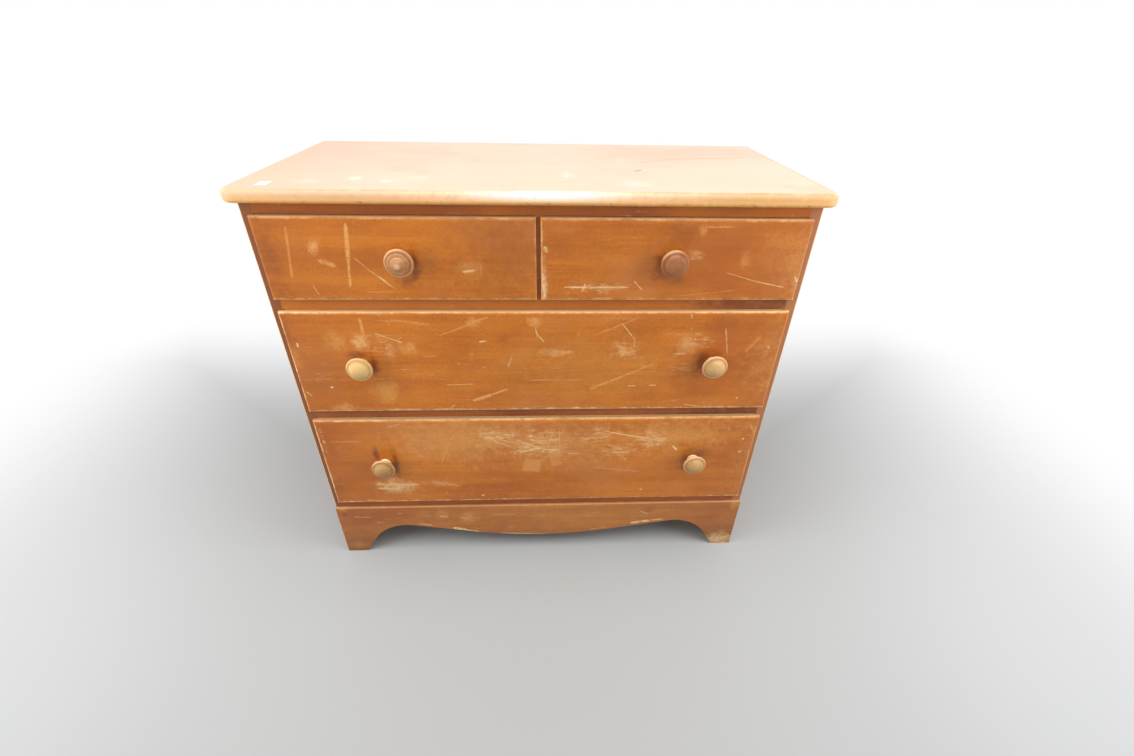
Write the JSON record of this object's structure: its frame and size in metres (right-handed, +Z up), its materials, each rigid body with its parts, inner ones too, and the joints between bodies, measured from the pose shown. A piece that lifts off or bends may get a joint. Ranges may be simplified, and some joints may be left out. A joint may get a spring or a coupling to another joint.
{
  "type": "dresser",
  "caption": "Stained maple dresser, short drawers side by side over full-width ones, turned wooden knobs, rounded slab top and scrolled apron base.",
  "frame": {"origin": "middle of the floor under the whole dresser, knobs included, with the drawers shut", "axes": "+Z up, +X to the right seen from the front, +Y to the back: the drawers open along -Y"},
  "size_m": [1.025, 0.5062, 0.888],
  "materials": {
    "maple_finish": "worn satin stain",
    "maple_top": "worn satin stain",
    "bare_maple": "unfinished",
    "plywood": "unfinished",
    "knob_dark": "satin stain",
    "knob_light": "worn satin",
    "screw_steel": "zinc plated"
  },
  "bodies": {
    "case": {"top_slab": "maple_top", "side_panel_left": "maple_finish", "side_panel_right": "maple_finish", "base_apron": "maple_finish", "top_rail": "maple_finish", "upper_rail": "maple_finish", "lower_rail": "maple_finish", "bottom_rail": "maple_finish", "drawer_divider": "maple_finish", "back_panel": "plywood", "rear_rail_top": "bare_maple", "rear_rail_upper": "bare_maple", "rear_rail_lower": "bare_maple", "rear_rail_bottom": "bare_maple", "kicker_left": "bare_maple", "kicker_centre": "bare_maple", "kicker_right": "bare_maple", "runner_upper_left": "bare_maple", "runner_upper_centre": "bare_maple", "runner_upper_right": "bare_maple", "runner_middle_left": "bare_maple", "runner_middle_right": "bare_maple", "runner_lower_left": "bare_maple", "runner_lower_right": "bare_maple", "centre_guide_middle": "bare_maple", "centre_guide_lower": "bare_maple", "base_glue_blocks": "bare_maple", "slab_screws": "screw_steel"},
    "upper_left_drawer": {"upper_left_front": "maple_finish", "upper_left_side_left": "bare_maple", "upper_left_side_right": "bare_maple", "upper_left_back": "bare_maple", "upper_left_bottom": "plywood", "upper_left_knob": "knob_dark", "upper_left_knob_screw": "screw_steel"},
    "upper_right_drawer": {"upper_right_front": "maple_finish", "upper_right_side_left": "bare_maple", "upper_right_side_right": "bare_maple", "upper_right_back": "bare_maple", "upper_right_bottom": "plywood", "upper_right_knob": "knob_dark", "upper_right_knob_screw": "screw_steel"},
    "middle_drawer": {"middle_front": "maple_finish", "middle_side_left": "bare_maple", "middle_side_right": "bare_maple", "middle_back": "bare_maple", "middle_bottom": "plywood", "middle_knob_left": "knob_light", "middle_knob_right": "knob_light", "middle_knob_screws": "screw_steel", "middle_guide": "bare_maple"},
    "lower_drawer": {"lower_front": "maple_finish", "lower_side_left": "bare_maple", "lower_side_right": "bare_maple", "lower_back": "bare_maple", "lower_bottom": "plywood", "lower_knob_left": "knob_light", "lower_knob_right": "knob_light", "lower_knob_screws": "screw_steel", "lower_guide": "bare_maple"}
  },
  "joints": [
    {"name": "upper_left_slide", "type": "slide", "parent": "case", "child": "upper_left_drawer", "axis": [0, -1, 0], "range_m": [0, 0.38]},
    {"name": "upper_right_slide", "type": "slide", "parent": "case", "child": "upper_right_drawer", "axis": [0, -1, 0], "range_m": [0, 0.38]},
    {"name": "middle_slide", "type": "slide", "parent": "case", "child": "middle_drawer", "axis": [0, -1, 0], "range_m": [0, 0.38]},
    {"name": "lower_slide", "type": "slide", "parent": "case", "child": "lower_drawer", "axis": [0, -1, 0], "range_m": [0, 0.38]}
  ]
}
